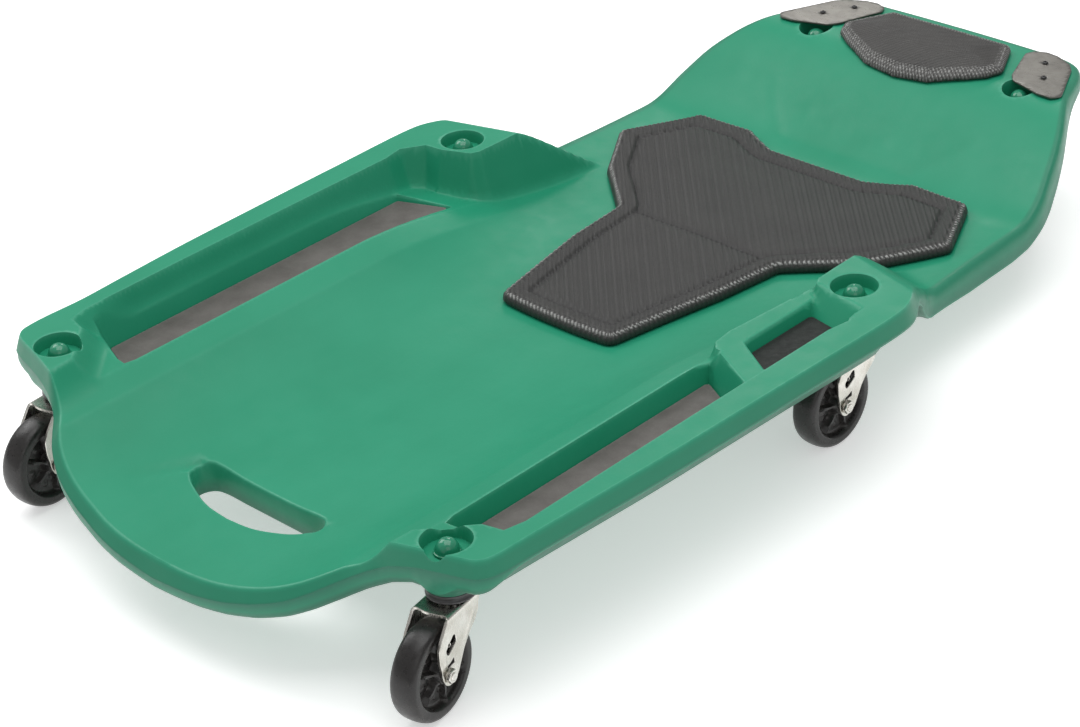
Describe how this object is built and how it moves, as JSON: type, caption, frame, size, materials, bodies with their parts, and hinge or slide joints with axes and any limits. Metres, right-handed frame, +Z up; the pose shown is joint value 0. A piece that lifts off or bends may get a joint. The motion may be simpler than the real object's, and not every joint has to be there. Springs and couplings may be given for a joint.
{
  "type": "mechanics creeper",
  "caption": "Low moulded creeper with padded back and head rest, tool trays along both sides, a handle slot and swivel casters.",
  "frame": {"origin": "on the floor under the middle of the overall length and width", "axes": "+Z up, +Y from the foot end with the handle slot to the head end, +X to the right-hand side of a person lying with the head on the head pad"},
  "size_m": [0.5552, 0.9842, 0.143],
  "materials": {
    "green_polyethylene": "satin, finely grained",
    "green_cap": "satin gloss",
    "black_vinyl": "woven-look vinyl",
    "black_board": "matte",
    "grey_liner": "matte",
    "black_liner": "matte",
    "grey_steel_plate": "satin",
    "black_screw": "black oxide",
    "zinc_plated_steel": "zinc plated",
    "black_raceway_steel": "black, satin",
    "bearing_steel": "polished",
    "black_moulded_wheel": "moulded"
  },
  "bodies": {
    "deck": {"deck_body": "green_polyethylene", "back_pad": "black_vinyl", "back_pad_base": "black_board", "head_pad": "black_vinyl", "head_pad_base": "black_board", "left_tray_liner": "grey_liner", "right_tray_liner": "grey_liner", "small_tray_liner": "black_liner", "corner_plate_right": "grey_steel_plate", "corner_plate_left": "grey_steel_plate", "plate_screw_right_1": "black_screw", "plate_screw_right_2": "black_screw", "plate_screw_left_1": "black_screw", "plate_screw_left_2": "black_screw", "kingpin_foot_right": "zinc_plated_steel", "cap_nut_foot_right": "green_cap", "raceway_cup_foot_right": "black_raceway_steel", "kingpin_foot_left": "zinc_plated_steel", "cap_nut_foot_left": "green_cap", "raceway_cup_foot_left": "black_raceway_steel", "kingpin_mid_right": "zinc_plated_steel", "cap_nut_mid_right": "green_cap", "raceway_cup_mid_right": "black_raceway_steel", "kingpin_mid_left": "zinc_plated_steel", "cap_nut_mid_left": "green_cap", "raceway_cup_mid_left": "black_raceway_steel", "kingpin_head_right": "zinc_plated_steel", "cap_nut_head_right": "green_cap", "raceway_cup_head_right": "black_raceway_steel", "kingpin_head_left": "zinc_plated_steel", "cap_nut_head_left": "green_cap", "raceway_cup_head_left": "black_raceway_steel"},
    "swivel_foot_right": {"fork_foot_right": "zinc_plated_steel", "ball_ring_foot_right": "bearing_steel", "axle_foot_right": "zinc_plated_steel"},
    "roll_foot_right": {"wheel_foot_right": "black_moulded_wheel"},
    "swivel_foot_left": {"fork_foot_left": "zinc_plated_steel", "ball_ring_foot_left": "bearing_steel", "axle_foot_left": "zinc_plated_steel"},
    "roll_foot_left": {"wheel_foot_left": "black_moulded_wheel"},
    "swivel_mid_right": {"fork_mid_right": "zinc_plated_steel", "ball_ring_mid_right": "bearing_steel", "axle_mid_right": "zinc_plated_steel"},
    "roll_mid_right": {"wheel_mid_right": "black_moulded_wheel"},
    "swivel_mid_left": {"fork_mid_left": "zinc_plated_steel", "ball_ring_mid_left": "bearing_steel", "axle_mid_left": "zinc_plated_steel"},
    "roll_mid_left": {"wheel_mid_left": "black_moulded_wheel"},
    "swivel_head_right": {"fork_head_right": "zinc_plated_steel", "ball_ring_head_right": "bearing_steel", "axle_head_right": "zinc_plated_steel"},
    "roll_head_right": {"wheel_head_right": "black_moulded_wheel"},
    "swivel_head_left": {"fork_head_left": "zinc_plated_steel", "ball_ring_head_left": "bearing_steel", "axle_head_left": "zinc_plated_steel"},
    "roll_head_left": {"wheel_head_left": "black_moulded_wheel"}
  },
  "joints": [
    {"name": "swivel_foot_right", "type": "hinge", "parent": "deck", "child": "swivel_foot_right", "pos_m": [0.2185, -0.392, 0.083], "axis": [0, 0, 1], "continuous": true},
    {"name": "roll_foot_right", "type": "hinge", "parent": "swivel_foot_right", "child": "roll_foot_right", "pos_m": [0.22471, -0.42339, 0.038], "axis": [0.981, 0.1942, 0], "continuous": true},
    {"name": "swivel_foot_left", "type": "hinge", "parent": "deck", "child": "swivel_foot_left", "pos_m": [-0.2185, -0.392, 0.083], "axis": [0, 0, 1], "continuous": true},
    {"name": "roll_foot_left", "type": "hinge", "parent": "swivel_foot_left", "child": "roll_foot_left", "pos_m": [-0.2156, -0.42387, 0.038], "axis": [0.9959, 0.0906, 0], "continuous": true},
    {"name": "swivel_mid_right", "type": "hinge", "parent": "deck", "child": "swivel_mid_right", "pos_m": [0.2185, 0.054, 0.083], "axis": [0, 0, 1], "continuous": true},
    {"name": "roll_mid_right", "type": "hinge", "parent": "swivel_mid_right", "child": "roll_mid_right", "pos_m": [0.21889, 0.022, 0.038], "axis": [0.9999, 0.0122, 0], "continuous": true},
    {"name": "swivel_mid_left", "type": "hinge", "parent": "deck", "child": "swivel_mid_left", "pos_m": [-0.2185, 0.054, 0.083], "axis": [0, 0, 1], "continuous": true},
    {"name": "roll_mid_left", "type": "hinge", "parent": "swivel_mid_left", "child": "roll_mid_left", "pos_m": [-0.22073, 0.02208, 0.038], "axis": [0.9976, -0.0698, 0], "continuous": true},
    {"name": "swivel_head_right", "type": "hinge", "parent": "deck", "child": "swivel_head_right", "pos_m": [0.115, 0.416, 0.083], "axis": [0, 0, 1], "continuous": true},
    {"name": "roll_head_right", "type": "hinge", "parent": "swivel_head_right", "child": "roll_head_right", "pos_m": [0.11166, 0.38417, 0.038], "axis": [0.9945, -0.1045, 0], "continuous": true},
    {"name": "swivel_head_left", "type": "hinge", "parent": "deck", "child": "swivel_head_left", "pos_m": [-0.115, 0.416, 0.083], "axis": [0, 0, 1], "continuous": true},
    {"name": "roll_head_left", "type": "hinge", "parent": "swivel_head_left", "child": "roll_head_left", "pos_m": [-0.11055, 0.38431, 0.038], "axis": [0.9903, 0.1392, 0], "continuous": true}
  ]
}
